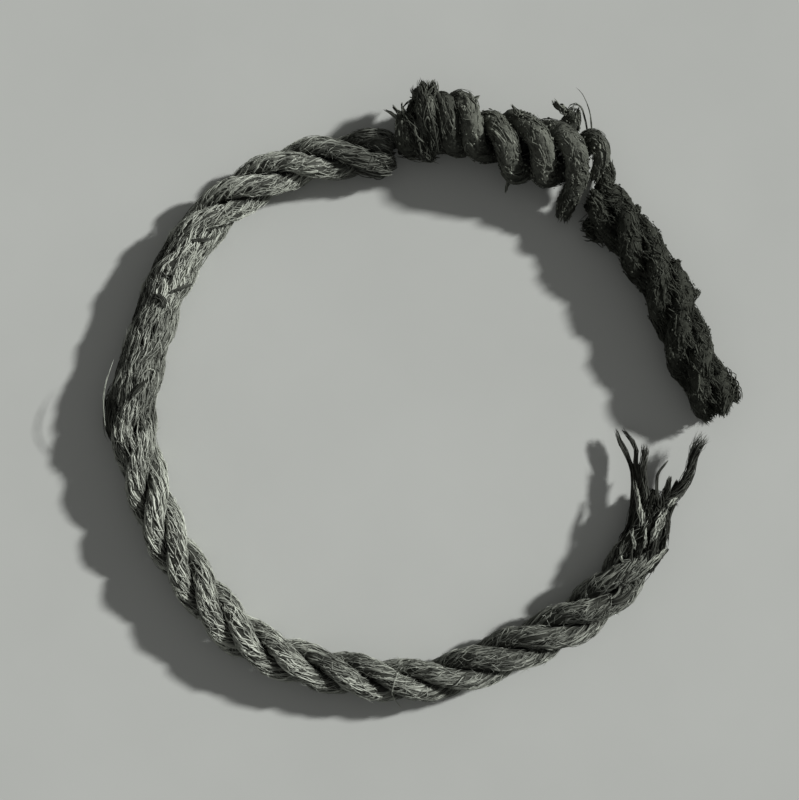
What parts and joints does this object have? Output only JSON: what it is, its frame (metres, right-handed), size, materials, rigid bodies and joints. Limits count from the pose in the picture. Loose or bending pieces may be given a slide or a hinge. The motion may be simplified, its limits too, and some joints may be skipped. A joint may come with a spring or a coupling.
{
  "type": "coiled frayed rope",
  "caption": "Old laid rope lying flat in an open ring: a long bleached length, a slackened corkscrewed length and a matted dark length, with torn and frayed ends.",
  "frame": {"origin": "centre of the bounding box, at its base, on the surface that the rope lies on", "axes": "+Z up from the surface; seen from above with +X to the right and +Y up, the gap in the ring is on the right"},
  "size_m": [0.2676, 0.2633, 0.0272],
  "materials": {
    "bleached_fibre": "dry, bleached plant fibre, dull",
    "dark_fibre": "dark, dry plant fibre, dull",
    "matted_fibre": "dark plant fibre matted with dirt, dull"
  },
  "bodies": {
    "root": {"pale_length": "bleached_fibre", "loosened_length": "dark_fibre", "dark_length": "matted_fibre"}
  },
  "joints": []
}
